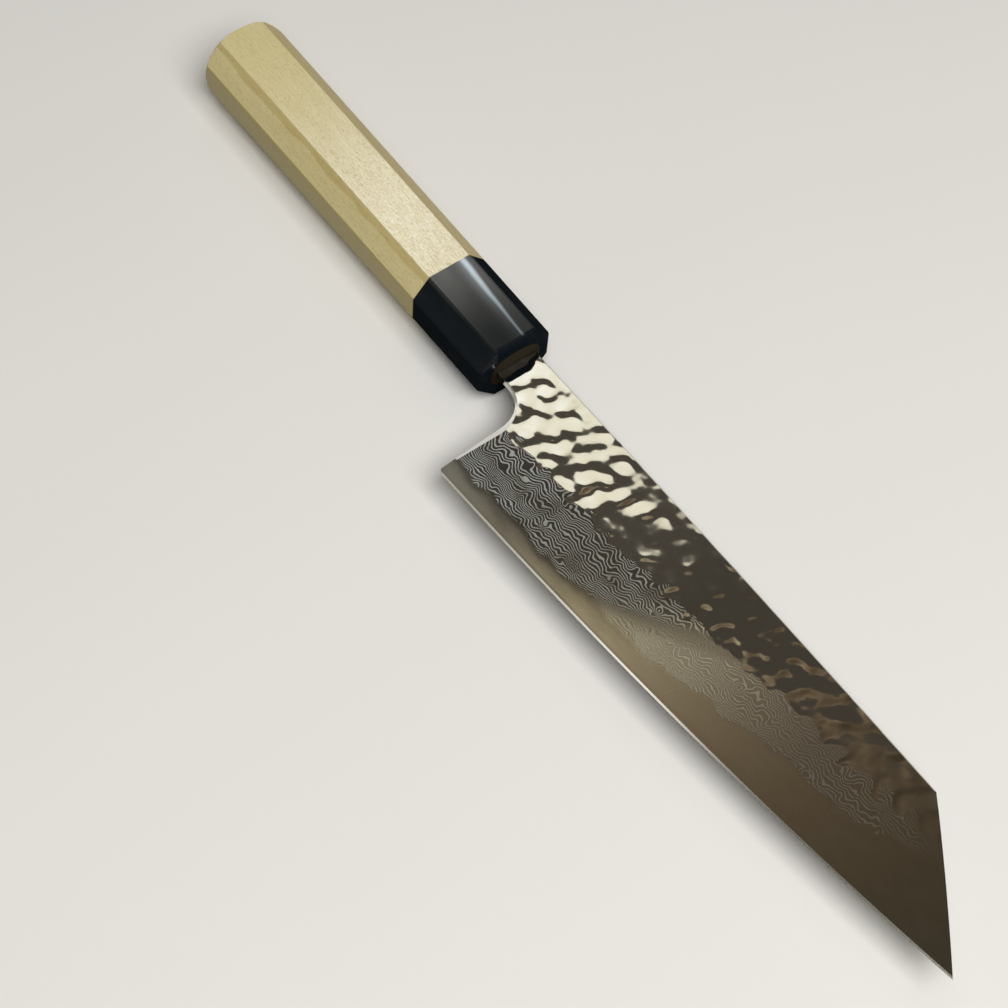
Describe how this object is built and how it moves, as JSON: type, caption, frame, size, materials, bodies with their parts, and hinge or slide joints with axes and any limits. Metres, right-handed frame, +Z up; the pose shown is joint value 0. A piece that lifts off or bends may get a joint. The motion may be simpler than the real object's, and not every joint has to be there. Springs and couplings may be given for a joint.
{
  "type": "bunka kitchen knife",
  "caption": "Kitchen knife with a tall clipped-point laminated blade, hammered above a layered band, on an octagonal pale wooden handle with a black horn ferrule.",
  "frame": {"origin": "on the surface the knife lies on, under the middle of its bounding box", "axes": "+X from the butt to the tip, +Y from the cutting edge to the spine, +Z up, out of the blade's right face"},
  "size_m": [0.3302, 0.0496, 0.0218],
  "materials": {
    "core_steel": "fine satin, misty, with a bright bevel along the edge",
    "clad_steel": "etched layered pattern below, hammered and polished above",
    "black_horn": "polished black horn",
    "magnolia_wood": "pale, fine-grained, sanded and barely oiled",
    "brown_wood": "brown end grain",
    "dark_resin": "dark cured resin"
  },
  "bodies": {
    "root": {"blade_core": "core_steel", "cladding_right": "clad_steel", "cladding_left": "clad_steel", "ferrule": "black_horn", "grip": "magnolia_wood", "dowel": "brown_wood", "tang_bedding": "dark_resin"}
  },
  "joints": []
}
